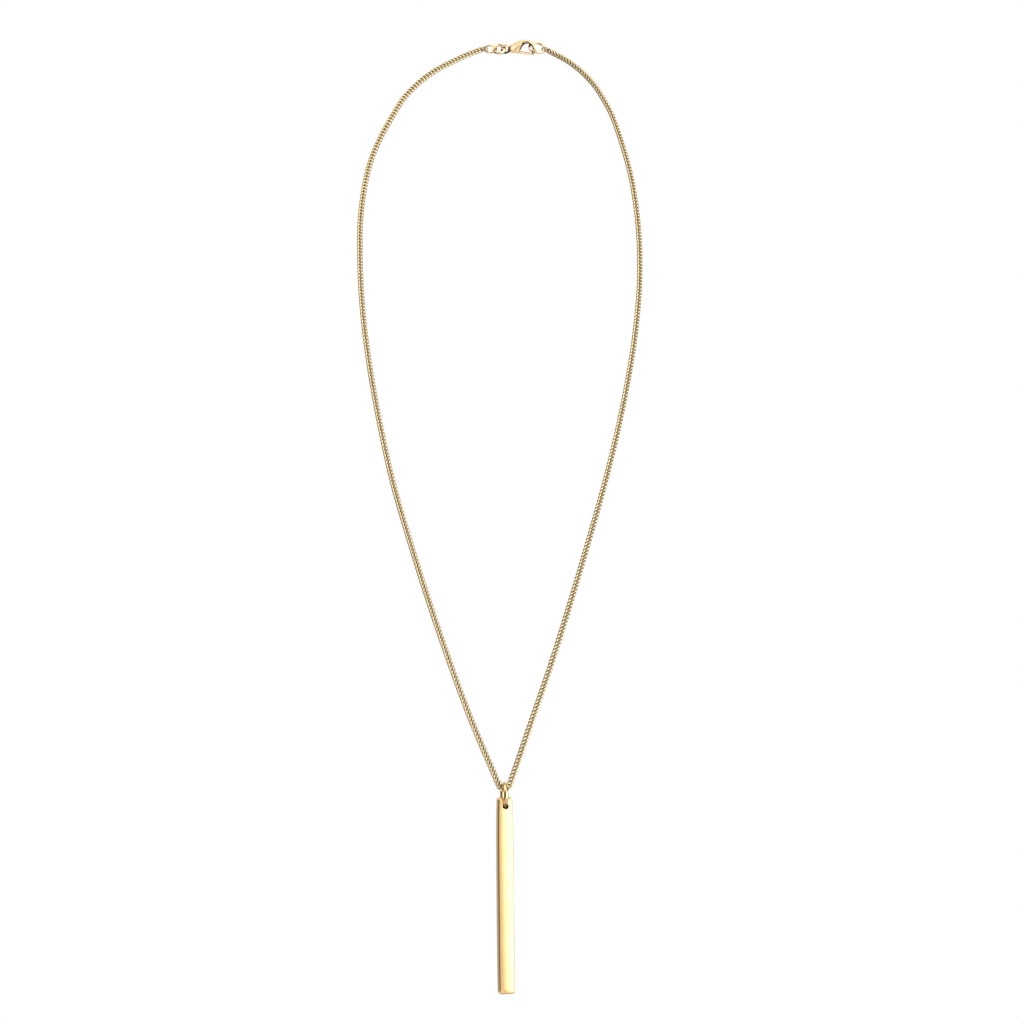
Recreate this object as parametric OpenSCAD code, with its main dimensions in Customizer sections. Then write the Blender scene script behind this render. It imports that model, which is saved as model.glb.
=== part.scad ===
// Gold bar pendant on its chain, closed by a lobster clasp and hanging as it is worn.
// Millimetres. +Z is up and the front faces -Y. The origin is the eye of the clasp, at the nape.

/* [Bar] */
// Length of the bar
bar_len = 51.9; // [40:0.1:65]
// Width of the bar where it is widest
bar_w = 4.4; // [3.6:0.05:5]
// Thickness of the bar from front to back
bar_t = 3.2; // [2.6:0.1:3.4]
// Radius of the bar's rounded edges
bar_edge = 0.4; // [0.2:0.05:0.6]
// Diameter of the hole through the bar
hole_d = 1.65; // [1.6:0.05:1.85]
// Distance from the bar's top to the middle of its hole
hole_drop = 2.1; // [1.8:0.1:2.6]
// Turn of the bar about the vertical, as it hangs
pendant_yaw = 12.5; // [0:0.5:18]
// Sideways lean of the bar on its ring
bar_lean = 0.6; // [0:0.1:2]

/* [Bail ring] */
// Outer diameter of the ring that carries the bar
bail_od = 7; // [6.8:0.1:8]
// Thickness of that ring's oval wire, from its inside to its outside
bail_wire = 0.9; // [0.7:0.05:0.95]
// Width of that wire, from side to side
bail_width = 1.2; // [1:0.05:1.25]
// Turn of the ring about the vertical, from the bar's
bail_turn = -3; // [-4.5:0.5:3.5]

/* [Chain] */
// Width over the chain's links
chain_d = 1.3; // [1:0.05:1.5]
// Radius of the chain's bend under the bail ring
bend_r = 1.6; // [1.4:0.05:2]

/* [Clasp] */
// Length of the clasp over its eye and hook
clasp_len = 10.5; // [9:0.1:12]
// Middle radius of the hook
hook_r = 2.1; // [2:0.05:2.4]
// Wire of the hook
hook_wire = 1; // [0.8:0.05:1.1]
// Middle radius of the clasp's eye
eye_r = 1.15; // [1.08:0.01:1.3]
// Wire of the eye
eye_wire = 0.64; // [0.5:0.02:0.7]
// Thickness of the clasp's body
clasp_t = 1.7; // [1.5:0.05:2.2]
// Roll of the clasp about its length
clasp_roll = 20; // [10:1:25]
// Thickness of the lever
lever_t = 0.7; // [0.5:0.05:0.8]
// Height of the lever
lever_h = 0.6; // [0.45:0.05:0.7]
// Diameter of the lever's pin
pin_d = 0.56; // [0.4:0.02:0.6]

/* [Small rings] */
// Outer diameter of the ring on the left end of the chain
end_od = 4.1; // [3.6:0.02:4.4]
// Wire of that ring
end_wire = 0.62; // [0.5:0.02:0.64]
// Outer diameter of the thicker ring in the clasp's eye
link_od = 4.2; // [4:0.1:5.2]
// Wire of that thicker ring
link_wire = 0.84; // [0.6:0.02:0.86]
// Outer diameter of the ring that the hook catches
catch_od = 5.4; // [4.8:0.1:6]
// Wire of the ring that the hook catches
catch_wire = 0.7; // [0.5:0.02:0.74]

/* [Hidden] */
$fn = 48;
seat_gap = 0.08;
pin_gap = 0.02;
bore_gap = 0.05;
slot_gap = 0.07;
end_gap = 0.35;
catch_gap = 0.14;

// Middle line of each strand from the clasp down to the pendant, and the lowest point where they meet.
left_route = [[-13.5, -1.5, -3], [-21.5, -4, -7.7], [-27.8, -6.8, -13.5], [-32.2, -9.8, -20],
              [-38.8, -16, -34.7], [-41.5, -22.5, -50.5], [-41.5, -29, -66.5], [-40.2, -35.5, -82.5],
              [-37.8, -41.8, -98.5], [-34.6, -47.8, -114.5], [-30.8, -53.5, -130.3], [-26, -59, -146],
              [-20.8, -64.2, -161.7], [-15.2, -68.5, -177.5], [-9.2, -71.8, -193.3]];
right_route = [[19.5, -2.8, -4.8], [25.5, -5.5, -10.8], [29.5, -8.5, -17.5], [32.4, -11.7, -24.7],
               [36.3, -18, -39.7], [38.2, -24.5, -55], [38.4, -30.8, -70.6], [37, -37, -86],
               [34.4, -43, -101.5], [31, -48.8, -117], [27, -54.3, -132.2], [22.5, -59.5, -147.4],
               [17.8, -64.4, -162.7], [12.8, -68.7, -178.2], [7.4, -72, -193.6]];
low_point = [-0.1, -74, -211.8];
chain_sides = 8;
steps_per_span = 2;
bend_steps = 5;
left_slope = 22;
right_slope = 18;
strand_lean = 7;
meet_angle = 1.5;

// Places of the pendant, from the chain's lowest point down.
bail_yaw = pendant_yaw + bail_turn;
bail_r = (bail_od - bail_wire) / 2;
bail_inner = bail_r - bail_wire / 2;
bail_z = chain_d / 2 + seat_gap + bail_wire / 2 - bail_r;
hole_z = bail_z - sqrt(pow(bail_inner, 2) - pow(bar_t / 2, 2)) + seat_gap - hole_d / 2;
// Columns: share of the bar's length from its top, share of its width.
bar_rows = [[0, 0.89], [0.08, 0.945], [0.22, 0.985], [0.5, 1], [0.85, 0.995], [1, 0.965]];

// Places along the clasp, from the eye to the right.
eye_outer = eye_r + eye_wire / 2;
hook_x = clasp_len - eye_outer - hook_r - hook_wire / 2;
hook_outer = hook_r + hook_wire / 2;
hook_inner = hook_r - hook_wire / 2;
hook_start = 130;
hook_end = -40;
boss_r = 0.6;
pivot_gap = 0.18;
pivot = [eye_outer + boss_r + pivot_gap, -0.17 * hook_outer];
hook_lip = [hook_x + hook_inner * cos(hook_end), hook_inner * sin(hook_end)];
lever_reach = norm(hook_lip - pivot) - seat_gap;
lever_drop = -4;
lever_slope = atan2(hook_lip[1] - pivot[1], hook_lip[0] - pivot[0]) + lever_drop;
// Columns: share of the way from the eye to the hook's centre, share of the hook's outer radius.
plate_rows = [[0.14, 0.3], [0.46, 0.73], [0.75, 1.06], [0.82, 1.08], [0.88, 0.94], [0.85, 0.6],
              [0.76, 0.16], [0.67, -0.3], [0.62, -0.42], [0.4, -0.47], [0.14, -0.3]];

// Small rings, each given by the middle of its circle, its turn about X and its fall to the right.
link_r = (link_od - link_wire) / 2;
link_hold = -0.2;
link_at = [link_hold - link_r, 0, 0];
link_turn = -52;
link_tilt = clasp_roll + link_turn;
end_r = (end_od - end_wire) / 2;
end_at = [link_at[0] - link_r + link_wire / 2 + end_wire / 2 + seat_gap - end_r, 0, 0];
end_tilt = 66;
catch_r = (catch_od - catch_wire) / 2;
catch_angle = 48;
catch_hold = hook_inner - catch_wire / 2 - catch_gap;
catch_fall = 12;
catch_turn = -63;
catch_tilt = clasp_roll + catch_turn;
held_at = [hook_x + catch_hold * cos(catch_angle), catch_hold * sin(catch_angle)];
catch_at = rolled(held_at) + catch_r * [cos(catch_fall), 0, -sin(catch_fall)];
left_end = end_at - [end_r + end_wire / 2 + end_gap, 0, 0];
right_end = catch_at + (catch_r + catch_wire / 2 + end_gap) * [cos(catch_fall), 0, -sin(catch_fall)];

function rolled(p) = [p[0], -p[1] * sin(clasp_roll), p[1] * cos(clasp_roll)];
function unit(v) = v / norm(v);
function spline(a, b, c, d, t) =
    0.5 * (2 * b + (c - a) * t + (2 * a - 5 * b + 4 * c - d) * pow(t, 2) + (3 * b - a - 3 * c + d) * pow(t, 3));
function curve(p, n) = [for (i = [1:len(p) - 3]) for (k = [0:n - 1])
    spline(p[i - 1], p[i], p[i + 1], p[i + 2], k / n)];
function bend_point(angle) = low_point
    + bend_r * cos(angle) * [cos(pendant_yaw), sin(pendant_yaw), 0]
    + bend_r * (1 + sin(angle)) * [0, sin(strand_lean), cos(strand_lean)];
function bend(from, to) = [for (i = [0:bend_steps + 1]) bend_point(from + (to - from) * i / bend_steps)];

// Rings of points square to the path, then the walls between them and a cap at each end.
// The path's last point only gives the direction of the ring before it.
function path_dir(p, i) = unit(p[i + 1] - p[max(i - 1, 0)]);
function ring_points(centre, dir, r) =
    let (across = unit(cross(dir, [0, 1, 0])), up = cross(dir, across), turn = 360 / chain_sides)
    [for (k = [0:chain_sides - 1]) centre + r * (across * cos(turn * k) + up * sin(turn * k))];
function tube_points(p, r) = [for (i = [0:len(p) - 2]) each ring_points(p[i], path_dir(p, i), r)];
function tube_walls(n) = [for (i = [0:n - 2]) for (k = [0:chain_sides - 1])
    let (a = i * chain_sides + k, b = i * chain_sides + (k + 1) % chain_sides)
    [a, a + chain_sides, b + chain_sides, b]];
function cap(start, turn) = [for (k = [0:chain_sides - 1]) start + (turn > 0 ? k : chain_sides - 1 - k)];

module strand(ends, route, slope_angle) {
    arc = bend(slope_angle, 270 + (slope_angle < 270 ? -meet_angle : meet_angle));
    reach = norm(arc[0] - route[len(route) - 1]);
    beyond = arc[0] + unit(arc[1] - arc[0]) * reach;
    control = concat([2 * ends - route[0], ends], route, [arc[0], beyond]);
    path = concat(curve(control, steps_per_span), arc);
    n = len(path) - 1;
    walls = concat([cap(0, 1)], tube_walls(n), [cap((n - 1) * chain_sides, -1)]);
    polyhedron(tube_points(path, chain_d / 2), walls, convexity = 10);
}

module wire_ring(r, wire, width = 0) {
    rotate([90, 0, 0]) rotate_extrude() translate([r, 0]) scale([1, width > 0 ? width / wire : 1])
        circle(d = wire);
}

module in_clasp() {
    rotate([clasp_roll, 0, 0]) children();
}

module across_clasp(x, z, r, depth) {
    translate([x, depth / 2, z]) rotate([90, 0, 0]) cylinder(r = r, h = depth);
}

module chain_left() {
    color([0.86, 0.7, 0.42]) strand(left_end, left_route, 180 + left_slope);
}

module chain_right() {
    color([0.86, 0.7, 0.42]) strand(right_end, right_route, 360 - right_slope);
}

module end_ring() {
    color([0.9, 0.74, 0.44]) translate(end_at) rotate([end_tilt, 0, 0]) wire_ring(end_r, end_wire);
}

module clasp_ring() {
    color([0.97, 0.86, 0.6]) translate(link_at) rotate([link_tilt, 0, 0]) wire_ring(link_r, link_wire);
}

module plate() {
    rotate([90, 0, 0]) linear_extrude(clasp_t, center = true)
        polygon([for (row = plate_rows) [row[0] * hook_x, row[1] * hook_outer]]);
}

module lever_slot() {
    left = pivot[0] - boss_r - 2 * slot_gap;
    top = 0.2 * hook_outer;
    translate([left, -lever_t / 2 - slot_gap, top - 2 * hook_outer])
        cube([hook_x - left, lever_t + 2 * slot_gap, 2 * hook_outer]);
}

module clasp_body() {
    color([0.93, 0.74, 0.45]) in_clasp() {
        difference() {
            plate();
            lever_slot();
            across_clasp(pivot[0], pivot[1], pin_d / 2 + pin_gap, 2 * clasp_t);
        }
        wire_ring(eye_r, eye_wire);
        translate([hook_x, 0, 0]) rotate([90, 0, 0]) rotate([0, 0, hook_end])
            rotate_extrude(angle = hook_start - hook_end) translate([hook_r, 0]) circle(d = hook_wire);
    }
}

module clasp_lever() {
    color([0.9, 0.72, 0.45]) in_clasp() difference() {
        union() {
            across_clasp(pivot[0], pivot[1], boss_r, lever_t);
            translate([pivot[0], 0, pivot[1]]) rotate([0, -lever_slope, 0])
                translate([0, -lever_t / 2, -lever_h / 2]) cube([lever_reach, lever_t, lever_h]);
        }
        across_clasp(pivot[0], pivot[1], pin_d / 2 + bore_gap, 2 * clasp_t);
    }
}

module clasp_pin() {
    color([0.7, 0.56, 0.32]) in_clasp() across_clasp(pivot[0], pivot[1], pin_d / 2, clasp_t);
}

module catch_ring() {
    color([0.96, 0.84, 0.56]) translate(catch_at) rotate([catch_tilt, catch_fall, 0])
        wire_ring(catch_r, catch_wire);
}

module bail_ring() {
    color([0.9, 0.74, 0.46]) translate(low_point + [0, 0, bail_z])
        rotate([0, 0, bail_yaw + 90]) wire_ring(bail_r, bail_wire, bail_width);
}

module bar() {
    color([0.96, 0.82, 0.52]) translate(low_point + [0, 0, hole_z]) rotate([0, -bar_lean, pendant_yaw])
        difference() {
            hull() for (row = bar_rows, x = [-1, 1], y = [-1, 1])
                translate([x * (bar_w * row[1] / 2 - bar_edge), y * (bar_t / 2 - bar_edge),
                           hole_drop - bar_edge - row[0] * (bar_len - 2 * bar_edge)])
                    sphere(r = bar_edge, $fn = 24);
            rotate([90, 0, 0]) cylinder(d = hole_d, h = 2 * bar_t, center = true);
        }
}

chain_left();
chain_right();
end_ring();
clasp_ring();
clasp_body();
clasp_lever();
clasp_pin();
catch_ring();
bail_ring();
bar();
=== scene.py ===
"""Looks of the gold bar pendant on its curb chain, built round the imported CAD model. Metres, +Z up."""

import math

import bmesh
import bpy
from mathutils import Matrix, Vector


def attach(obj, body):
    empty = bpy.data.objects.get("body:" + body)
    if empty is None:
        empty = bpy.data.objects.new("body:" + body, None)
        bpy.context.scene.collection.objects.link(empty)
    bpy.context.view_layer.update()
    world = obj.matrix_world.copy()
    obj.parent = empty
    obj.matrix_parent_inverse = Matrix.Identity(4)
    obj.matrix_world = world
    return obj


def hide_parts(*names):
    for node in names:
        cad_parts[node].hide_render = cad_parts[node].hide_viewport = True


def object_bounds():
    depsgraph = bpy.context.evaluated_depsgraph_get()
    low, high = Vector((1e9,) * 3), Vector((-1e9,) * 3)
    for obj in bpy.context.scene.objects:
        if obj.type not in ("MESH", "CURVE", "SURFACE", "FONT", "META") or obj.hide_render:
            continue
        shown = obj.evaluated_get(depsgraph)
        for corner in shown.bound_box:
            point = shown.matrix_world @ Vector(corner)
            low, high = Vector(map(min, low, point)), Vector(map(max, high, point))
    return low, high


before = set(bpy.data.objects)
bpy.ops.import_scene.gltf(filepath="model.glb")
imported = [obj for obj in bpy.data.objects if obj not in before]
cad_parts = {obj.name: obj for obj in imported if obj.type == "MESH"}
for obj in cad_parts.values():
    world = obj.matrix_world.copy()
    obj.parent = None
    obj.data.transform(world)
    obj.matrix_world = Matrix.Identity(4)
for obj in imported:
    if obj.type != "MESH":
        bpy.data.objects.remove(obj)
cad_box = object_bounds()

MM = 0.001
scene = bpy.context.scene

# Driving sizes, as in the part's source.
BAR_LENGTH = 51.9 * MM
BAR_WIDTH = 4.4 * MM
BAR_THICKNESS = 3.2 * MM
BAR_EDGE = 0.4 * MM
HOLE_RADIUS = 0.825 * MM
HOLE_DROP = 2.1 * MM
PENDANT_YAW = math.radians(12.5)
BAR_LEAN = math.radians(0.6)
BAIL_WIRE = 0.9 * MM
BAIL_WIDTH = 1.2 * MM
BAIL_YAW = PENDANT_YAW - math.radians(3)
BAIL_RADIUS = 3.05 * MM
CHAIN_WIDTH = 1.3 * MM
BEND_RADIUS = 1.6 * MM
SEAT_GAP = 0.08 * MM
CLASP_LENGTH = 10.5 * MM
HOOK_RADIUS = 2.1 * MM
HOOK_WIRE = 1.0 * MM
EYE_RADIUS = 1.15 * MM
EYE_WIRE = 0.64 * MM
CLASP_THICKNESS = 1.7 * MM
CLASP_ROLL = math.radians(20)
LEVER_THICKNESS = 0.7 * MM
LEVER_HEIGHT = 0.6 * MM
SLOT_GAP = 0.07 * MM
PIN_RADIUS = 0.28 * MM
BOSS_RADIUS = 0.6 * MM
PIVOT_GAP = 0.18 * MM
LEVER_DROP = math.radians(4)

# Each ring's radius to the middle of its wire, and its wire.
END_RING = (1.74 * MM, 0.62 * MM)
CLASP_RING = (1.68 * MM, 0.84 * MM)
CATCH_RING = (2.35 * MM, 0.7 * MM)

# The chain's middle line, in millimetres, repeated from the part's source.
LEFT_ROUTE = [
    (-13.5, -1.5, -3), (-21.5, -4, -7.7), (-27.8, -6.8, -13.5), (-32.2, -9.8, -20),
    (-38.8, -16, -34.7), (-41.5, -22.5, -50.5), (-41.5, -29, -66.5), (-40.2, -35.5, -82.5),
    (-37.8, -41.8, -98.5), (-34.6, -47.8, -114.5), (-30.8, -53.5, -130.3), (-26, -59, -146),
    (-20.8, -64.2, -161.7), (-15.2, -68.5, -177.5), (-9.2, -71.8, -193.3)]
RIGHT_ROUTE = [
    (19.5, -2.8, -4.8), (25.5, -5.5, -10.8), (29.5, -8.5, -17.5), (32.4, -11.7, -24.7),
    (36.3, -18, -39.7), (38.2, -24.5, -55), (38.4, -30.8, -70.6), (37, -37, -86),
    (34.4, -43, -101.5), (31, -48.8, -117), (27, -54.3, -132.2), (22.5, -59.5, -147.4),
    (17.8, -64.4, -162.7), (12.8, -68.7, -178.2), (7.4, -72, -193.6)]
LOW_POINT = Vector((-0.1, -74, -211.8)) * MM
LEFT_SLOPE = 22
RIGHT_SLOPE = 18
STRAND_LEAN = math.radians(7)

# Places worked out from those sizes.
EYE_OUTER = EYE_RADIUS + EYE_WIRE / 2
HOOK_X = CLASP_LENGTH - EYE_OUTER - HOOK_RADIUS - HOOK_WIRE / 2
HOOK_OUTER = HOOK_RADIUS + HOOK_WIRE / 2
HOOK_INNER = HOOK_RADIUS - HOOK_WIRE / 2
HOOK_START = math.radians(130)
HOOK_END = math.radians(-40)
PIVOT = Vector((EYE_OUTER + BOSS_RADIUS + PIVOT_GAP, 0, -0.17 * HOOK_OUTER))
HOOK_LIP = Vector((HOOK_X + HOOK_INNER * math.cos(HOOK_END), 0, HOOK_INNER * math.sin(HOOK_END)))
LEVER_SLOPE = math.atan2(HOOK_LIP.z - PIVOT.z, HOOK_LIP.x - PIVOT.x) - LEVER_DROP
BAIL_Z = CHAIN_WIDTH / 2 + SEAT_GAP + BAIL_WIRE / 2 - BAIL_RADIUS
BAIL_INNER = BAIL_RADIUS - BAIL_WIRE / 2
HOLE_Z = BAIL_Z - math.sqrt(BAIL_INNER ** 2 - (BAR_THICKNESS / 2) ** 2) + SEAT_GAP - HOLE_RADIUS

# Links of the curb chain.
LINK_PITCH = 1.04 * MM
LINK_WIRE = 0.5 * MM
LINK_LENGTH = LINK_PITCH + 1.97 * LINK_WIRE
LINK_WIDTH = 1.68 * MM
LINK_TWIST = math.radians(60)
LINK_SQUARENESS = 2.3
LINK_STEPS = 28
# Painted shade on the links: spread over the inner side of each wire, and deepening on the wire below a
# set height towards the link's back.
LINK_INNER_SHADE_SPREAD = 0.75
LINK_SHADE = 0.68
LINK_SHADE_FROM = 0.42 * MM
LINK_SHADE_DEPTH = 0.4 * MM
LINK_SIDES = 8

# The end link of each strand, which reaches through its ring, and where the others begin.
END_LINK_WIRE = 0.4 * MM
END_LINK_ROOM = 0.3 * MM
END_LINK_REACH = 1.01 * MM
CHAIN_GAP = 0.35 * MM
CHAIN_LEAD = 0.2 * MM


def paint_shade(mesh, shade_amounts):
    """Stores painted shade at each vertex, from 0 where none is painted to 1 where it is darkest."""
    painted_shade = mesh.attributes.new("painted_shade", "FLOAT", "POINT")
    painted_shade.data.foreach_set("value", shade_amounts)


def shown(name, vertices, faces, material, body, slot, *nodes):
    """A smooth mesh piece that rides on a body and stands for CAD nodes."""
    mesh = bpy.data.meshes.new(name)
    mesh.from_pydata(vertices, [], faces)
    mesh.validate()
    mesh.polygons.foreach_set("use_smooth", [True] * len(mesh.polygons))
    mesh.materials.append(material)
    piece = bpy.data.objects.new(name, mesh)
    scene.collection.objects.link(piece)
    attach(piece, body)
    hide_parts(*nodes)
    return piece


# Materials

# Tone of the painted shade where it is darkest. It stands in for dark reflections that the soft world
# lacks.
PAINTED_SHADE_TONE = (0.13, 0.075, 0.022)


def polished_gold(name, tones, roughness, scratch, tone_scale=900.0):
    """Polished yellow gold: soft drifts of tone, uneven polish, hairline scratches and painted shade
    mixed in from the mesh.
    """
    material = bpy.data.materials.new(name)
    material.use_nodes = True
    nodes, links = material.node_tree.nodes, material.node_tree.links
    shader = nodes["Principled BSDF"]
    shader.inputs["Metallic"].default_value = 1.0
    place = nodes.new("ShaderNodeTexCoord")

    def noise(scale, detail):
        made = nodes.new("ShaderNodeTexNoise")
        made.inputs["Scale"].default_value = scale
        made.inputs["Detail"].default_value = detail
        links.new(place.outputs["Object"], made.inputs["Vector"])
        return made

    drift = noise(tone_scale, 3.0)
    ramp = nodes.new("ShaderNodeValToRGB")
    ramp.color_ramp.elements[0].position = 0.35
    ramp.color_ramp.elements[0].color = (*tones[0], 1)
    ramp.color_ramp.elements[1].position = 0.65
    ramp.color_ramp.elements[1].color = (*tones[1], 1)
    links.new(drift.outputs["Fac"], ramp.inputs["Fac"])
    # Painted shade: each vertex's stored shade pulls the base colour towards the dark shade tone.
    painted_shade = nodes.new("ShaderNodeAttribute")
    painted_shade.attribute_name = "painted_shade"
    shade_mix = nodes.new("ShaderNodeMixRGB")
    shade_mix.inputs["Color2"].default_value = (*PAINTED_SHADE_TONE, 1)
    links.new(painted_shade.outputs["Fac"], shade_mix.inputs["Fac"])
    links.new(ramp.outputs["Color"], shade_mix.inputs["Color1"])
    links.new(shade_mix.outputs["Color"], shader.inputs["Base Color"])

    polish = nodes.new("ShaderNodeMapRange")
    polish.inputs["To Min"].default_value = roughness * 0.75
    polish.inputs["To Max"].default_value = roughness * 1.3
    links.new(noise(2600.0, 4.0).outputs["Fac"], polish.inputs["Value"])
    links.new(polish.outputs["Result"], shader.inputs["Roughness"])

    stretch = nodes.new("ShaderNodeMapping")
    stretch.inputs["Scale"].default_value = (9.0, 9.0, 0.6)
    links.new(place.outputs["Object"], stretch.inputs["Vector"])
    hairline = nodes.new("ShaderNodeTexNoise")
    hairline.inputs["Scale"].default_value = 2500.0
    hairline.inputs["Detail"].default_value = 2.0
    links.new(stretch.outputs["Vector"], hairline.inputs["Vector"])
    bump = nodes.new("ShaderNodeBump")
    bump.inputs["Strength"].default_value = scratch
    bump.inputs["Distance"].default_value = 0.002 * MM
    links.new(hairline.outputs["Fac"], bump.inputs["Height"])
    links.new(bump.outputs["Normal"], shader.inputs["Normal"])
    return material


chain_gold = polished_gold("chain_gold", ((0.94, 0.73, 0.39), (1.0, 0.82, 0.49)), 0.12, 0.15)
ring_gold = polished_gold("ring_gold", ((0.95, 0.71, 0.40), (1.0, 0.79, 0.49)), 0.10, 0.15)
# The bail's gold is a darker, duller copy of the ring gold: painted shade that dims the bail's
# highlights.
shaded_bail_gold = polished_gold("shaded_bail_gold", ((0.78, 0.54, 0.27), (0.86, 0.63, 0.36)), 0.12, 0.15)
clasp_gold = polished_gold("clasp_gold", ((0.97, 0.69, 0.37), (1.0, 0.76, 0.45)), 0.13, 0.15)
bar_gold = polished_gold("bar_gold", ((0.99, 0.66, 0.295), (1.0, 0.68, 0.325)), 0.08, 0.2, 260.0)


# Chain

def bend_point(angle):
    """A point of the bend under the bail ring, by its angle in degrees."""
    turn = math.radians(angle)
    across = Vector((math.cos(PENDANT_YAW), math.sin(PENDANT_YAW), 0))
    up = Vector((0, math.sin(STRAND_LEAN), math.cos(STRAND_LEAN)))
    lowest = LOW_POINT - Vector((0, 0, (LINK_WIDTH - CHAIN_WIDTH) / 2))
    return lowest + BEND_RADIUS * (math.cos(turn) * across + (1 + math.sin(turn)) * up)


def spline(a, b, c, d, t):
    """A smooth curve's point between b and c, of four points in a row."""
    return 0.5 * (2 * b + (c - a) * t + (2 * a - 5 * b + 4 * c - d) * t ** 2
                  + (3 * b - a - 3 * c + d) * t ** 3)


def strand_path(start, route, slope_angle):
    """Close points along a strand, from the clasp down and round to the lowest point."""
    points = [Vector(p) * MM for p in route]
    arc = [bend_point(slope_angle + (270 - slope_angle) * i / 16) for i in range(17)]
    reach = (arc[0] - points[-1]).length
    beyond = arc[0] + (arc[1] - arc[0]).normalized() * reach
    control = [2 * start - points[0], start, *points, arc[0], beyond]
    path = []
    for i in range(1, len(control) - 2):
        path += [spline(*control[i - 1:i + 3], k / 40) for k in range(40)]
    return path + arc


def along(path, distances):
    """Points and directions at given distances along a path."""
    found, walked, i = [], 0.0, 0
    for distance in distances:
        while i < len(path) - 2 and walked + (path[i + 1] - path[i]).length < distance:
            walked += (path[i + 1] - path[i]).length
            i += 1
        step = path[i + 1] - path[i]
        found.append((path[i] + step * ((distance - walked) / step.length), step.normalized()))
    return found


def eased(t):
    """A smooth step from 0 to 1."""
    t = min(1.0, max(0.0, t))
    return t * t * (3 - 2 * t)


def link_points(length, width, wire, twist):
    """One link along X, an oval of round wire whose ends are twisted apart, and its painted shade."""
    half_length, half_width = (length - wire) / 2, (width - wire) / 2
    power = 2 / LINK_SQUARENESS

    def centre(t):
        c, s = math.cos(t), math.sin(t)
        x = half_length * math.copysign(abs(c) ** power, c)
        y = half_width * math.copysign(abs(s) ** power, s)
        turn = twist / 2 * x / half_length
        return Vector((x, y * math.cos(turn), y * math.sin(turn))), turn

    vertices, shade_amounts = [], []
    for i in range(LINK_STEPS):
        t = 2 * math.pi * (i + 0.5) / LINK_STEPS
        middle, turn = centre(t)
        forward = (centre(t + 0.01)[0] - centre(t - 0.01)[0]).normalized()
        side = forward.cross(Vector((0, -math.sin(turn), math.cos(turn)))).normalized()
        up = side.cross(forward)
        for k in range(LINK_SIDES):
            w = 2 * math.pi * (k + 0.5) / LINK_SIDES
            away = side * math.cos(w) + up * math.sin(w)
            point = middle + away * wire / 2
            vertices.append(point)
            # Painted shade on the wire's inner side and on its lower, covered part.
            shade_amounts.append(max(eased(-away.dot(middle.normalized()) / LINK_INNER_SHADE_SPREAD),
                              LINK_SHADE * eased((LINK_SHADE_FROM - point.z) / LINK_SHADE_DEPTH)))
    return vertices, shade_amounts


def tube_faces(steps, sides, first=0):
    """Quads of a closed tube whose rings of vertices follow each other."""
    faces = []
    for i in range(steps):
        for k in range(sides):
            a, b = first + i * sides, first + (i + 1) % steps * sides
            faces.append((a + k, b + k, b + (k + 1) % sides, a + (k + 1) % sides))
    return faces


def smooth_table(rows, x):
    """Value of a table of rising keys, eased between its rows."""
    for (x0, y0), (x1, y1) in zip(rows, rows[1:]):
        if x <= x1:
            return y0 + (y1 - y0) * eased((x - x0) / (x1 - x0))
    return rows[-1][1]


def link_chain(name, node, start, route, slope_angle, rolls, end_way, end_roll, ring_wire):
    """A strand of links. rolls gives the turn of their faces from the front towards +X.

    A flat and longer link with a way and a roll of its own hooks it to the ring at its start."""
    path = strand_path(start, route, slope_angle)
    length = sum((b - a).length for a, b in zip(path, path[1:]))
    count = round(length / LINK_PITCH)
    pitch = (length - CHAIN_LEAD) / count
    plain, shade_amounts = link_points(LINK_LENGTH, LINK_WIDTH, LINK_WIRE, LINK_TWIST)
    before = ring_wire + END_LINK_ROOM + END_LINK_WIRE
    end_link, end_shade_amounts = link_points(before + END_LINK_REACH, LINK_WIDTH, END_LINK_WIRE, 0)
    places = [(start + end_way * ((END_LINK_REACH - before) / 2 - CHAIN_GAP), end_way)]
    places += along(path, [CHAIN_LEAD + (i + 0.5) * pitch for i in range(count)])
    vertices, faces = [], []
    for i, (place, down) in enumerate(places):
        front = Vector((0, -1, 0))
        front = (front - down * front.dot(down)).normalized()
        roll = math.radians(smooth_table(rolls, (i - 0.5) / count)) if i else end_roll
        face = Matrix.Rotation(-roll, 3, down) @ front
        turn = Matrix((down, face.cross(down), face)).transposed()
        faces += tube_faces(LINK_STEPS, LINK_SIDES, len(vertices))
        vertices += [place + turn @ v for v in (plain if i else end_link)]
    strand = shown(name, vertices, faces, chain_gold, "necklace", "chain_gold", node)
    paint_shade(strand.data, end_shade_amounts + shade_amounts * count)


# Where the small rings hang and how they are tilted about the clasp's length.
CLASP_RING_HOLD = 0.2 * MM
CLASP_RING_TILT = CLASP_ROLL - math.radians(52)
clasp_ring_at = Vector((-CLASP_RING_HOLD - CLASP_RING[0], 0, 0))
end_ring_at = Vector((clasp_ring_at.x - CLASP_RING[0] + CLASP_RING[1] / 2 + END_RING[1] / 2
                      + SEAT_GAP - END_RING[0], 0, 0))
END_TILT = math.radians(66)
CATCH_ANGLE = math.radians(48)
CATCH_FALL = math.radians(12)
CATCH_TILT = CLASP_ROLL - math.radians(63)
CATCH_GAP = 0.14 * MM
in_clasp = Matrix.Rotation(CLASP_ROLL, 4, "X")
catch_hold = HOOK_INNER - CATCH_RING[1] / 2 - CATCH_GAP
held_at = in_clasp @ Vector((HOOK_X + catch_hold * math.cos(CATCH_ANGLE), 0,
                             catch_hold * math.sin(CATCH_ANGLE)))
catch_way = Vector((math.cos(CATCH_FALL), 0, -math.sin(CATCH_FALL)))
catch_ring_at = held_at + CATCH_RING[0] * catch_way
left_end = end_ring_at - Vector((END_RING[0] + END_RING[1] / 2 + CHAIN_GAP, 0, 0))
right_end = catch_ring_at + (CATCH_RING[0] + CATCH_RING[1] / 2 + CHAIN_GAP) * catch_way

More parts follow.
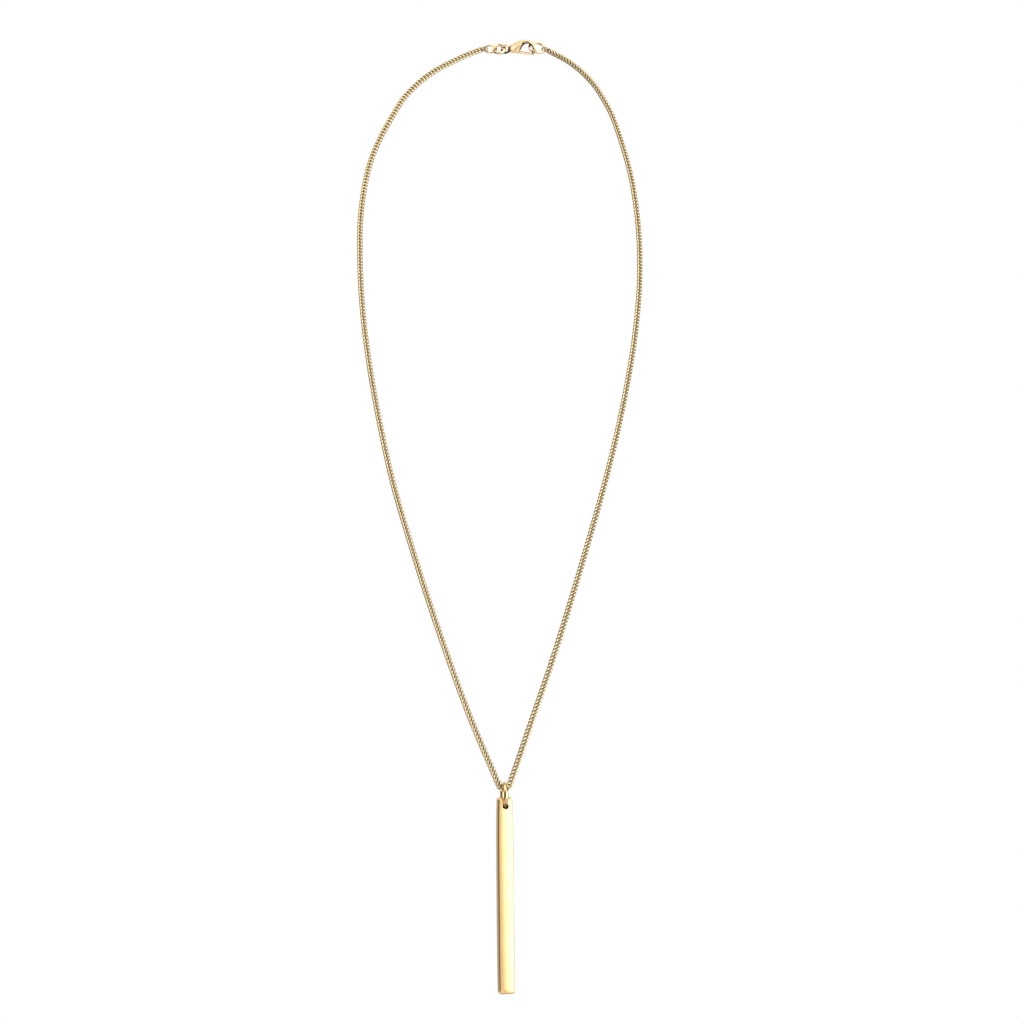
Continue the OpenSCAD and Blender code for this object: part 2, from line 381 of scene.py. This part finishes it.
LEFT_ROLLS = [(0, 0), (0.2, 0), (0.32, 20), (0.5, 22), (0.75, 18), (1, 9)]
RIGHT_ROLLS = [(0, 0), (0.06, 0), (0.15, 22), (0.65, 22), (0.85, 18), (1, 9)]
link_chain("curb_links_left", "chain_left", left_end, LEFT_ROUTE, 180 + LEFT_SLOPE, LEFT_ROLLS,
           Vector((-1, 0, 0)), END_TILT - math.pi / 2, END_RING[1])
link_chain("curb_links_right", "chain_right", right_end, RIGHT_ROUTE, 360 - RIGHT_SLOPE, RIGHT_ROLLS,
           catch_way, -CATCH_TILT - math.pi / 2, CATCH_RING[1])


# Rings

RING_STEPS = 72
RING_SIDES = 24
SEAM_DEPTH = 0.16
SEAM_WIDTH = 0.05


def jump_ring(name, node, radius, wire, place, seam, body, width=None, gold=ring_gold):
    """A bent wire ring in the XZ plane, with the fine line where its ends meet."""
    broad = (width or wire) / wire
    angles = [2 * math.pi * i / RING_STEPS for i in range(RING_STEPS)]
    angles += [seam + SEAM_WIDTH * k for k in (-2, -1, -0.5, 0, 0.5, 1, 2)]
    vertices = []
    for angle in sorted(a % (2 * math.pi) for a in angles):
        away = (angle - seam + math.pi) % (2 * math.pi) - math.pi
        r = wire / 2 * (1 - SEAM_DEPTH * math.exp(-(away / SEAM_WIDTH) ** 2 * 3))
        for k in range(RING_SIDES):
            w = 2 * math.pi * k / RING_SIDES
            out = radius + r * math.cos(w)
            vertices.append(place @ Vector((out * math.cos(angle), broad * r * math.sin(w),
                                            out * math.sin(angle))))
    return shown(name, vertices, tube_faces(len(angles), RING_SIDES), gold, body, "ring_gold", node)


# How far from another ring, and from the hook, a ring still gets painted shade.
CONTACT_FADE = 0.5 * MM
HOOK_FADE = 1.2 * MM


def contact_shade(point, rings, fade=CONTACT_FADE):
    """How much painted shade a point gets from the ring of wire nearest to it: a place, a radius and a
    wire.
    """
    deepest = 0.0
    for place, radius, wire in rings:
        p = place.inverted() @ point
        gap = math.hypot(math.hypot(p.x, p.z) - radius, p.y) - wire / 2
        deepest = max(deepest, eased(1 - gap / fade))
    return deepest


def shaded_by(piece, *rings, fade=CONTACT_FADE):
    """Paints shade on a piece where other rings come close to it."""
    paint_shade(piece.data, [contact_shade(v.co, rings, fade) for v in piece.data.vertices])


def turned(at, *turns):
    """A place after turns, each an angle and its axis, of which the last acts first."""
    place = Matrix.Translation(at)
    for angle, axis in turns:
        place = place @ Matrix.Rotation(angle, 4, axis)
    return place


end_place = turned(end_ring_at, (END_TILT, "X"))
clasp_ring_place = turned(clasp_ring_at, (CLASP_RING_TILT, "X"))
catch_place = turned(catch_ring_at, (CATCH_FALL, "Y"), (CATCH_TILT, "X"))
end_circle = (end_place, *END_RING)
clasp_ring_circle = (clasp_ring_place, *CLASP_RING)
catch_circle = (catch_place, *CATCH_RING)
eye_circle = (in_clasp, EYE_RADIUS, EYE_WIRE)
hook_circle = (in_clasp @ Matrix.Translation((HOOK_X, 0, 0)), HOOK_RADIUS, HOOK_WIRE)
shaded_by(jump_ring("end_jump_ring", "end_ring", *END_RING, end_place, math.radians(200), "necklace"),
          clasp_ring_circle)
shaded_by(jump_ring("clasp_jump_ring", "clasp_ring", *CLASP_RING, clasp_ring_place,
                    math.radians(250), "necklace"), end_circle, eye_circle)
shaded_by(jump_ring("catch_jump_ring", "catch_ring", *CATCH_RING, catch_place,
                    math.radians(290), "necklace"), hook_circle, fade=HOOK_FADE)
bail = jump_ring("bail_jump_ring", "bail_ring", BAIL_RADIUS, BAIL_WIRE,
                 turned(LOW_POINT + Vector((0, 0, BAIL_Z)), (BAIL_YAW + math.pi / 2, "Z")),
                 math.radians(35), "bail", BAIL_WIDTH, shaded_bail_gold)


# Bar

# Columns: share of the bar's length from its top, share of its width.
BAR_ROWS = [(0, 0.89), (0.08, 0.945), (0.22, 0.985), (0.5, 1.0), (0.85, 0.995), (1, 0.965)]
FACE_CROWN = 0.07 * MM
SIDE_CROWN = 0.09 * MM
FACE_STEPS = 20
SIDE_STEPS = 14
CORNER_STEPS = 6
WINDOW_STEPS = 16
WINDOW = 1.13 * MM
RIM = 0.09 * MM


def bar_half_width(z):
    """Half of the bar's width at a height measured from its hole, on a smooth curve."""
    share = min(1.0, max(0.0, (HOLE_DROP - z) / BAR_LENGTH))
    rows = [BAR_ROWS[0], *BAR_ROWS, BAR_ROWS[-1]]
    for i in range(1, len(rows) - 2):
        if share <= rows[i + 1][0]:
            t = (share - rows[i][0]) / (rows[i + 1][0] - rows[i][0])
            return spline(*[r[1] for r in rows[i - 1:i + 3]], t) * BAR_WIDTH / 2
    return BAR_ROWS[-1][1] * BAR_WIDTH / 2


def bar_section(z, inset):
    """Points round the bar at one height, from the left end of its front face."""
    across, deep = bar_half_width(z) - inset, BAR_THICKNESS / 2 - inset
    edge = max(BAR_EDGE - inset, 0.02 * MM)
    quarter = [
        (FACE_STEPS, lambda u: (u * (across - edge), -deep + FACE_CROWN * u * u)),
        (SIDE_STEPS, lambda u: (across - SIDE_CROWN * u * u, u * (deep - edge)))]
    points = []
    for half in (1, -1):
        for steps, at in quarter:
            line = [at(-1 + 2 * k / steps) for k in range(steps + 1)]
            points.append([(half * x, half * y) for x, y in line])
    ring = []
    for i, line in enumerate(points):
        ring += line
        start, end = Vector(line[-1]), Vector(points[(i + 1) % 4][0])
        knee = Vector((start.x, end.y)) if i % 2 else Vector((end.x, start.y))
        for k in range(1, CORNER_STEPS):
            a = math.pi / 2 * k / CORNER_STEPS
            round_point = start + end - knee
            ring.append(tuple(round_point + (start - round_point) * math.cos(a)
                              + (end - round_point) * math.sin(a)))
    return [Vector((x, y, z)) for x, y in ring]


def bar_mesh():
    """The bar as rings of points with a window on each face, filled in round the drilled hole."""
    heights = [(WINDOW * (1 - 2 * k / WINDOW_STEPS), 0.0) for k in range(WINDOW_STEPS + 1)]
    top, bottom = HOLE_DROP, HOLE_DROP - BAR_LENGTH
    upper = [(top - BAR_EDGE * (1 - math.sin(a)), BAR_EDGE * (1 - math.cos(a)))
             for a in [math.pi / 2 * (1 - k / 6) for k in range(7)]]
    lower = [(top + bottom - z, inset) for z, inset in reversed(upper)]
    gap = (lower[0][0] + WINDOW) / 40
    between = [(-WINDOW + gap * k, 0.0) for k in range(1, 40)]
    above = [(upper[-1][0] + (WINDOW - upper[-1][0]) * k / 4, 0.0) for k in range(1, 4)]
    levels = [*upper, *above, *heights, *between, *lower]
    first_window = len(upper) + len(above)
    vertices, faces = [], []
    for z, inset in levels:
        vertices += bar_section(z, inset)
    size = len(vertices) // len(levels)
    back_start = FACE_STEPS + SIDE_STEPS + 2 * CORNER_STEPS
    margin = (FACE_STEPS - WINDOW_STEPS) // 2
    fronts = range(margin, margin + WINDOW_STEPS)
    backs = range(back_start + margin, back_start + margin + WINDOW_STEPS)
    windows = range(first_window, first_window + WINDOW_STEPS)
    for i in range(len(levels) - 1):
        for k in range(size):
            if i in windows and (k in fronts or k in backs):
                continue
            a, b, n = i * size, (i + 1) * size, (k + 1) % size
            faces.append((a + k, a + n, b + n, b + k)[::-1])
    faces.append(tuple(range(size)))
    last = (len(levels) - 1) * size
    faces.append(tuple(last + k for k in reversed(range(size))))

    def window_loop(columns):
        rows, low, high = list(windows), columns[0], columns[-1] + 1
        top_row, bottom_row = rows[0], rows[-1] + 1
        loop = [top_row * size + k for k in range(low, high)]
        loop += [i * size + high for i in range(top_row, bottom_row)]
        loop += [bottom_row * size + k for k in range(high, low, -1)]
        loop += [i * size + low for i in range(bottom_row, top_row, -1)]
        return loop

    def rings_inward(loop, face):
        """Rings of vertices from a window's edge to the hole's rim and into the hole."""
        rings = [loop]
        corners = [vertices[i] for i in loop]
        for k in range(1, 7):
            t = k / 6
            rings.append(list(range(len(vertices), len(vertices) + len(loop))))
            for p in corners:
                flat = Vector((p.x, 0, p.z))
                on_rim = flat.normalized() * (HOLE_RADIUS + RIM)
                q = flat.lerp(on_rim, t)
                u = q.x / (bar_half_width(q.z) - BAR_EDGE)
                vertices.append(Vector((q.x, face * (BAR_THICKNESS / 2 - FACE_CROWN * u * u), q.z)))
        for k in range(1, 5):
            a = math.pi / 2 * k / 4
            rings.append(list(range(len(vertices), len(vertices) + len(loop))))
            for p in corners:
                out = Vector((p.x, 0, p.z)).normalized()
                u = out.x * (HOLE_RADIUS + RIM) / (bar_half_width(0) - BAR_EDGE)
                y = BAR_THICKNESS / 2 - FACE_CROWN * u * u - RIM * (1 - math.cos(a))
                q = out * (HOLE_RADIUS + RIM * (1 - math.sin(a)))
                vertices.append(Vector((q.x, face * y, q.z)))
        for outer, inner in zip(rings, rings[1:]):
            n = len(loop)
            for k in range(n):
                quad = (outer[k], outer[(k + 1) % n], inner[(k + 1) % n], inner[k])
                faces.append(quad)
        return rings[-1]

    front_rim = rings_inward(window_loop(fronts), -1)
    back_rim = rings_inward(window_loop(backs), 1)
    n = len(front_rim)
    opposite = {}
    for i in back_rim:
        key = (round(vertices[i].x / MM, 3), round(vertices[i].z / MM, 3))
        opposite[key] = i
    across = [opposite[(round(vertices[i].x / MM, 3), round(vertices[i].z / MM, 3))]
              for i in front_rim]
    before = front_rim
    for step in range(1, 7):
        t = step / 6
        if step < 6:
            ring = list(range(len(vertices), len(vertices) + n))
            vertices.extend(vertices[a].lerp(vertices[b], t) for a, b in zip(front_rim, across))
        else:
            ring = across
        for k in range(n):
            faces.append((before[k], before[(k + 1) % n], ring[(k + 1) % n], ring[k]))
        before = ring
    return vertices, faces


def same_way_out(piece):
    """Turns every face of a closed piece outwards."""
    mesh = bmesh.new()
    mesh.from_mesh(piece.data)
    bmesh.ops.remove_doubles(mesh, verts=mesh.verts, dist=0.001 * MM)
    bmesh.ops.recalc_face_normals(mesh, faces=mesh.faces)
    mesh.to_mesh(piece.data)
    mesh.free()


bar_place = turned(LOW_POINT + Vector((0, 0, HOLE_Z)), (PENDANT_YAW, "Z"), (-BAR_LEAN, "Y"))
bar_vertices, bar_faces = bar_mesh()
bar = shown("polished_bar", [bar_place @ v for v in bar_vertices], bar_faces, bar_gold,
            "pendant", "bar_gold", "bar")
same_way_out(bar)
out_of_bar = bar_place.inverted()

# Depths and strengths of the painted shade in the bar's hole, on its edges and on the bail wire.
TUNNEL_FADE = 0.35 * MM
LOW_EDGE = 0.42 * MM
SIDE_EDGE = 0.34 * MM
SIDE_EDGE_SHADE = 0.22
BAIL_REACH = 2.0 * MM
BAIL_FADE = 0.8 * MM
BAIL_SHADE = 0.8


def bar_shade(p):
    """Painted shade of the bar's hole and of its lower and upright edges at a point measured from its
    hole.
    """
    if math.hypot(p.x, p.z) < HOLE_RADIUS + 0.1 * RIM:
        return eased((BAR_THICKNESS / 2 - abs(p.y)) / TUNNEL_FADE)
    low = eased((HOLE_DROP - BAR_LENGTH + LOW_EDGE - p.z) / LOW_EDGE)
    side = eased((abs(p.x) - bar_half_width(p.z) + SIDE_EDGE) / SIDE_EDGE)
    return max(low, SIDE_EDGE_SHADE * side)


def bail_shade(p):
    """Painted shade of the bail ring in and just before the bar's hole."""
    in_hole = eased((1.35 - math.hypot(p.x, p.z) / HOLE_RADIUS) / 0.35)
    in_reach = eased((BAR_THICKNESS / 2 + BAIL_REACH - abs(p.y)) / BAIL_FADE)
    return BAIL_SHADE * in_hole * in_reach


# Painted shade on the bar, then on the bail ring.
paint_shade(bar.data, [bar_shade(out_of_bar @ v.co) for v in bar.data.vertices])
paint_shade(bail.data, [bail_shade(out_of_bar @ v.co) for v in bail.data.vertices])


# Clasp

# Columns: share of the way from the eye to the hook's centre, share of the hook's outer radius.
PLATE_ROWS = [(0.14, 0.3), (0.46, 0.73), (0.75, 1.06), (0.82, 1.08), (0.88, 0.94), (0.85, 0.6),
              (0.76, 0.16), (0.67, -0.3), (0.62, -0.42), (0.4, -0.47), (0.14, -0.3)]
VOXEL = 0.05 * MM
SMOOTHING = 24
HOOK_TAPER = (1.08 * MM, 0.88 * MM)
# Centre and size of the painted shade beside the eye.
EYE_SHADE_AT = Vector((1.72 * MM, 0, -0.1 * MM))
EYE_SHADE_SIZE = 0.75 * MM
LEVER_SWELL = 1.2
LEVER_SAG = 0.12 * MM
SLOT_REACH = 0.74 * MM


def torus(outer, wires, centre, start=0.0, end=2 * math.pi, steps=64, sides=20):
    """A ring or hook in the XZ plane, its wire tapering between two sizes inside one outer radius."""
    whole = abs(end - start - 2 * math.pi) < 1e-6
    rings = []
    count = steps if whole else steps + 1
    for i in range(count):
        rings.append((start + (end - start) * i / steps,
                      (wires[0] + (wires[1] - wires[0]) * i / steps) / 2, 0.0))
    if not whole:
        caps = [(math.cos(a), math.sin(a)) for a in (0.4, 0.8, 1.2, 1.5)]
        first, last = wires[0] / 2, wires[1] / 2
        rings = ([(start, first * c, -first * d) for c, d in reversed(caps)] + rings
                 + [(end, last * c, last * d) for c, d in caps])
    vertices = []
    for angle, r, push in rings:
        radius = outer - (wires[0] + (wires[1] - wires[0]) * (angle - start) / (end - start)) / 2
        out = Vector((math.cos(angle), 0, math.sin(angle)))
        forward = Vector((-math.sin(angle), 0, math.cos(angle))) * math.copysign(1, end - start)
        for k in range(sides):
            w = 2 * math.pi * k / sides
            vertices.append(centre + out * (radius + r * math.cos(w)) + forward * push
                            + Vector((0, r * math.sin(w), 0)))
    steps_round = len(rings)
    faces = tube_faces(steps_round, sides)
    if not whole:
        faces = faces[:(steps_round - 1) * sides]
        faces.append(tuple(range(sides)))
        faces.append(tuple((steps_round - 1) * sides + k for k in reversed(range(sides))))
    return vertices, faces


def loose(name, vertices, faces):
    """A closed mesh that a boolean uses up."""
    mesh = bpy.data.meshes.new(name)
    mesh.from_pydata(vertices, [], faces)
    made = bpy.data.objects.new(name, mesh)
    scene.collection.objects.link(made)
    same_way_out(made)
    return made


def smooth_loop(points, steps):
    """A closed smooth line through points."""
    n = len(points)
    line = []
    for i in range(n):
        near = [Vector(points[(i + k) % n]) for k in (-1, 0, 1, 2)]
        line += [spline(*near, k / steps) for k in range(steps)]
    return line


def domed_plate():
    """The clasp's body: its outline filled by ever smaller, ever higher outlines on both faces."""
    outline = smooth_loop([(x * HOOK_X, z * HOOK_OUTER) for x, z in PLATE_ROWS], 16)
    middle = Vector((0.56 * HOOK_X, 0.3 * HOOK_OUTER))
    n = len(outline)
    rows = []
    for share in (0.0, 0.12, 0.3, 0.5, 0.7, 0.85, 0.95, 1.0):
        angle = math.pi / 2 * share
        rows.append((1 - 0.3 * (1 - math.cos(angle)), math.sin(angle)))
    levels = [(size, -height) for size, height in reversed(rows)] + rows[1:]
    vertices, faces = [], []
    for size, height in levels:
        for p in outline:
            q = middle + (p - middle) * size
            neck = min(1.0, 0.45 + 0.55 * q.x / (0.5 * HOOK_X))
            vertices.append(Vector((q.x, height * neck * CLASP_THICKNESS / 2, q.y)))
    for i in range(len(levels) - 1):
        for k in range(n):
            a, b = i * n, (i + 1) * n
            faces.append((a + k, a + (k + 1) % n, b + (k + 1) % n, b + k))
    faces.append(tuple(range(n)))
    faces.append(tuple((len(levels) - 1) * n + k for k in reversed(range(n))))
    return vertices, faces


def applied(piece):
    """The piece's mesh with its modifiers applied."""
    graph = bpy.context.evaluated_depsgraph_get()
    mesh = bpy.data.meshes.new_from_object(piece.evaluated_get(graph))
    piece.modifiers.clear()
    piece.data = mesh
    return piece


def boolean(piece, other, operation):
    cut = piece.modifiers.new(operation.lower(), "BOOLEAN")
    cut.operation = operation
    cut.object = other
    cut.solver = "EXACT"
    applied(piece)
    bpy.data.objects.remove(other)


def block(low, high):
    """A box between two corners."""
    corners = [Vector((x, y, z)) for x in (low.x, high.x) for y in (low.y, high.y)
               for z in (low.z, high.z)]
    faces = [(0, 1, 3, 2), (4, 6, 7, 5), (0, 4, 5, 1), (2, 3, 7, 6), (0, 2, 6, 4), (1, 5, 7, 3)]
    return loose("block", corners, faces)


def clasp_painted_shade(point, normal, half_slot):
    """Painted shade on the casting: in its slot, beside the eye and along the inside of the hook."""
    walls = abs(point.y) < half_slot + 0.02 * MM and point.x < HOOK_X and point.z < 0
    in_slot = 1.0 if walls else 0.0
    beside = eased(1 - (point - EYE_SHADE_AT).length / EYE_SHADE_SIZE)
    out = Vector((point.x - HOOK_X, 0, point.z))
    in_hook = point.z > 0 and out.length < HOOK_OUTER
    inside = eased((0.12 - normal.dot(out.normalized())) / 0.28) if in_hook else 0.0
    return max(in_slot, beside, inside)


def clasp_casting():
    """Eye, body and hook fused into one casting, slotted for the lever."""
    body = loose("clasp_casting", *domed_plate())
    eye = loose("eye", *torus(EYE_OUTER, (EYE_WIRE, EYE_WIRE), Vector((0, 0, 0))))
    hook = loose("hook", *torus(HOOK_OUTER, HOOK_TAPER, Vector((HOOK_X, 0, 0)), HOOK_START, HOOK_END))
    boolean(body, eye, "UNION")
    boolean(body, hook, "UNION")
    skin = body.modifiers.new("skin", "REMESH")
    skin.mode = "VOXEL"
    skin.voxel_size = VOXEL
    even = body.modifiers.new("even", "SMOOTH")
    even.iterations = SMOOTHING
    applied(body)
    half_slot = LEVER_THICKNESS / 2 + SLOT_GAP
    slot = block(Vector((PIVOT.x - SLOT_REACH, -half_slot, -2 * HOOK_OUTER)),
                 Vector((HOOK_X, half_slot, 0.2 * HOOK_OUTER)))
    boolean(body, slot, "DIFFERENCE")
    # Painted shade from the casting's slot, eye and hook, and where the rings come close.
    paint_shade(body.data, [max(clasp_painted_shade(v.co, v.normal, half_slot),
                             contact_shade(in_clasp @ v.co, [clasp_ring_circle, catch_circle]))
                         for v in body.data.vertices])
    body.data.transform(in_clasp)
    body.data.polygons.foreach_set("use_smooth", [True] * len(body.data.polygons))
    body.data.materials.clear()
    body.data.materials.append(clasp_gold)
    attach(body, "necklace")
    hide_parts("clasp_body")
    return body


def clasp_lever():
    """The sprung lever: a rounded bar from the pin to the hook's tip."""
    reach = (HOOK_LIP - PIVOT).length - SEAT_GAP
    steps, sides = 24, 16
    vertices = []
    for i in range(steps + 1):
        t = i / steps
        x = reach * t
        height = LEVER_SWELL * LEVER_HEIGHT / 2 * (1 + 0.25 * math.exp(-(x / (0.8 * MM)) ** 2))
        height *= math.sqrt(max(0.03, 1 - max(0.0, (t - 0.9) / 0.1) ** 2))
        sag = -LEVER_SAG * math.sin(math.pi * t)
        for k in range(sides):
            w = 2 * math.pi * (k + 0.5) / sides
            c, s = math.cos(w), math.sin(w)
            y = LEVER_THICKNESS / 2 * math.copysign(abs(c) ** 0.6, c)
            z = height * math.copysign(abs(s) ** 0.6, s)
            vertices.append(Vector((x, y, z + sag)))
    faces = tube_faces(steps + 1, sides)[:steps * sides]
    faces.append(tuple(range(sides)))
    faces.append(tuple(steps * sides + k for k in reversed(range(sides))))
    place = in_clasp @ Matrix.Translation(PIVOT) @ Matrix.Rotation(-LEVER_SLOPE, 4, "Y")
    lever = shown("sprung_lever", [place @ v for v in vertices], faces, clasp_gold,
                  "lever", "clasp_gold", "clasp_lever")
    same_way_out(lever)
    return lever


def rivet():
    """The lever's pin with a low domed head on each side."""
    half = CLASP_THICKNESS / 2
    profile = [(0.02 * MM, half + 0.02 * MM), (0.6 * PIN_RADIUS, half), (PIN_RADIUS, half - 0.05 * MM)]
    rows = [(r, -y) for r, y in profile] + [(r, y) for r, y in reversed(profile)]
    sides = 24
    vertices = [in_clasp @ (PIVOT + Vector((r * math.cos(2 * math.pi * k / sides), y,
                                            r * math.sin(2 * math.pi * k / sides))))
                for r, y in rows for k in range(sides)]
    faces = tube_faces(len(rows), sides)[:(len(rows) - 1) * sides]
    faces.append(tuple(range(sides)))
    faces.append(tuple((len(rows) - 1) * sides + k for k in reversed(range(sides))))
    made = shown("lever_rivet", vertices, faces, clasp_gold, "necklace", "clasp_gold", "clasp_pin")
    same_way_out(made)
    return made


clasp_casting()
clasp_lever()
rivet()


# Camera, floor and light

CAMERA_AT = Vector((1.96, -658.17, -138.51)) * MM
IMAGE_SIDE = 1024
FOCAL = 2200
SENSOR = 36.0
FLOOR_DROP = 0.09
FLOOR_Z = cad_box[0].z - FLOOR_DROP

camera = bpy.data.objects.new("camera", bpy.data.cameras.new("camera"))
scene.collection.objects.link(camera)
camera.location = CAMERA_AT
camera.rotation_euler = (math.pi / 2, 0, 0)
camera.data.sensor_width = SENSOR
camera.data.lens = FOCAL / IMAGE_SIDE * SENSOR
camera.data.clip_start = 0.01
scene.camera = camera
scene.view_settings.view_transform = "Standard"


def pale_floor():
    """A round pale table top below the bar."""
    mesh = bmesh.new()
    bmesh.ops.create_circle(mesh, cap_ends=True, radius=0.3, segments=96)
    data = bpy.data.meshes.new("floor")
    mesh.to_mesh(data)
    mesh.free()
    floor = bpy.data.objects.new("floor", data)
    floor.location = (0, -0.04, FLOOR_Z)
    material = bpy.data.materials.new("pale_floor")
    material.use_nodes = True
    shader = material.node_tree.nodes["Principled BSDF"]
    shader.inputs["Base Color"].default_value = (0.86, 0.85, 0.83, 1)
    shader.inputs["Roughness"].default_value = 0.6
    data.materials.append(material)
    scene.collection.objects.link(floor)


def direction(azimuth, elevation=0.0):
    """A unit vector, where azimuth 0 is towards the camera's side and 90 towards +X."""
    a, e = math.radians(azimuth), math.radians(elevation)
    return Vector((math.sin(a) * math.cos(e), -math.cos(a) * math.cos(e), math.sin(e)))


# Columns: direction, angles in degrees where a glow ends and where it is full, its strength.
GLOWS = [
    (direction(50, 8), 46, 40, 0.66),
    (direction(50, 8), 38, 25, 1.85),
    (direction(-136, 8), 42, 24, 0.36),
    (direction(-70, 50), 38, 15, 1.2),
    (direction(20, 80), 42, 20, 1.15),
    (direction(180, 25), 48, 25, 0.6),
    (direction(0, -32), 24, 13, 1.1)]
DIM = 0.14


def studio():
    """White to the camera, and in reflections large soft glows round a dim tent."""
    world = bpy.data.worlds.new("studio")
    scene.world = world
    world.use_nodes = True
    nodes, links = world.node_tree.nodes, world.node_tree.links
    nodes.clear()
    place = nodes.new("ShaderNodeTexCoord")
    total = None
    for way, outer, inner, strength in GLOWS:
        nearness = nodes.new("ShaderNodeVectorMath")
        nearness.operation = "DOT_PRODUCT"
        nearness.inputs[1].default_value = way
        links.new(place.outputs["Generated"], nearness.inputs[0])
        glow = nodes.new("ShaderNodeMapRange")
        glow.interpolation_type = "SMOOTHSTEP"
        glow.inputs["From Min"].default_value = math.cos(math.radians(outer))
        glow.inputs["From Max"].default_value = math.cos(math.radians(inner))
        glow.inputs["To Max"].default_value = strength
        links.new(nearness.outputs["Value"], glow.inputs["Value"])
        added = nodes.new("ShaderNodeMath")
        added.inputs[1].default_value = DIM
        links.new(glow.outputs["Result"], added.inputs[0])
        if total is not None:
            links.new(total, added.inputs[1])
        total = added.outputs["Value"]
    around = nodes.new("ShaderNodeBackground")
    links.new(total, around.inputs["Strength"])
    behind = nodes.new("ShaderNodeBackground")
    behind.inputs["Color"].default_value = (1, 1, 1, 1)
    around.inputs["Color"].default_value = (1, 1, 1, 1)
    seen = nodes.new("ShaderNodeLightPath")
    mix = nodes.new("ShaderNodeMixShader")
    links.new(seen.outputs["Is Camera Ray"], mix.inputs["Fac"])
    links.new(around.outputs["Background"], mix.inputs[1])
    links.new(behind.outputs["Background"], mix.inputs[2])
    output = nodes.new("ShaderNodeOutputWorld")
    links.new(mix.outputs["Shader"], output.inputs["Surface"])


pale_floor()
studio()
